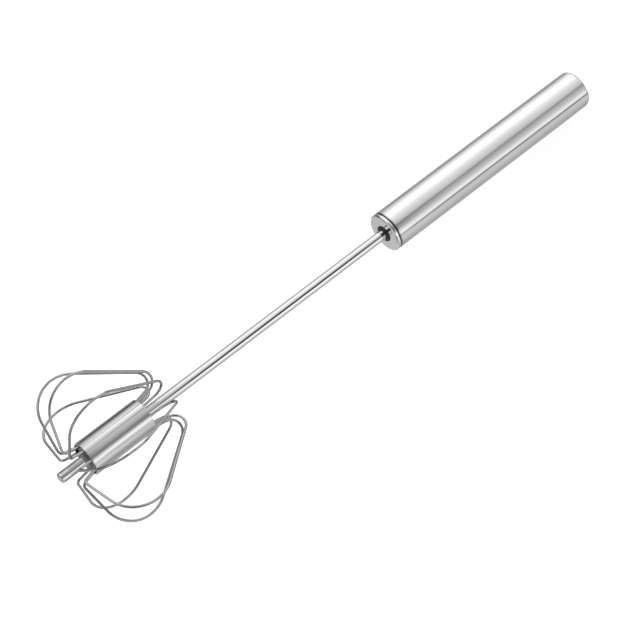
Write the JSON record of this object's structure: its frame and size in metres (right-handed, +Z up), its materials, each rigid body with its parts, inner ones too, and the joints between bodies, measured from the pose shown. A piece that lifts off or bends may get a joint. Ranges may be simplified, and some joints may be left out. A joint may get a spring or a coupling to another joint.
{
  "type": "push-down rotary whisk",
  "caption": "Push-down rotary hand whisk: a tubular steel handle slides on a slim shaft and spins a head of wire loops; a bare rod tip rests in the bowl.",
  "frame": {"origin": "centre of the tool's footprint, on the surface that it lies on", "axes": "+X towards the closed end of the handle, +Z up; the tool's own axis dips towards the handle, as it lies on two wire loops and the handle's end"},
  "size_m": [0.3264, 0.075, 0.0736],
  "materials": {
    "polished_steel": "polished stainless steel",
    "bright_wire": "bright drawn stainless wire",
    "plain_steel": "plain machined steel",
    "spring_steel": "satin spring steel",
    "black_plastic": "black moulded acetal",
    "white_nylon": "natural nylon",
    "grey_filler": "dark grey moulded filler",
    "black_rubber": "soft black rubber"
  },
  "bodies": {
    "handle": {"handle_tube": "polished_steel", "front_cap": "polished_steel", "guide_bush": "black_plastic", "bush_clip": "spring_steel", "buffer_washer": "black_rubber", "drive_spiral": "spring_steel", "anchor_plate": "plain_steel", "anchor_pin": "plain_steel", "end_spacer": "plain_steel", "return_spring": "spring_steel"},
    "plunger": {"spring_seat": "plain_steel", "thrust_washer": "white_nylon"},
    "beater": {"shaft_tube": "polished_steel", "shaft_tip": "polished_steel", "shaft_collar": "plain_steel", "drive_plate": "spring_steel", "head_sleeve": "polished_steel", "head_core": "grey_filler", "whisk_wire_1": "bright_wire", "whisk_wire_2": "bright_wire", "whisk_wire_3": "bright_wire", "whisk_wire_4": "bright_wire", "whisk_wire_5": "bright_wire", "whisk_wire_6": "bright_wire", "whisk_wire_7": "bright_wire", "whisk_wire_8": "bright_wire", "whisk_wire_9": "bright_wire"}
  },
  "joints": [
    {"name": "plunge", "type": "slide", "parent": "handle", "child": "plunger", "axis": [0.9963, 0, -0.0859], "range_m": [0, 0.044], "stiffness_N_per_m": 264, "springref_m": -0.015, "deforming": ["return_spring"]},
    {"name": "spin", "type": "hinge", "parent": "plunger", "child": "beater", "pos_m": [0.04613, 0.00039, 0.01987], "axis": [0.9963, 0, -0.0859], "range_deg": [0, 721]}
  ],
  "couplings": [
    {"joint": "spin", "follows": "plunge", "rad_per_m": 285.6}
  ]
}
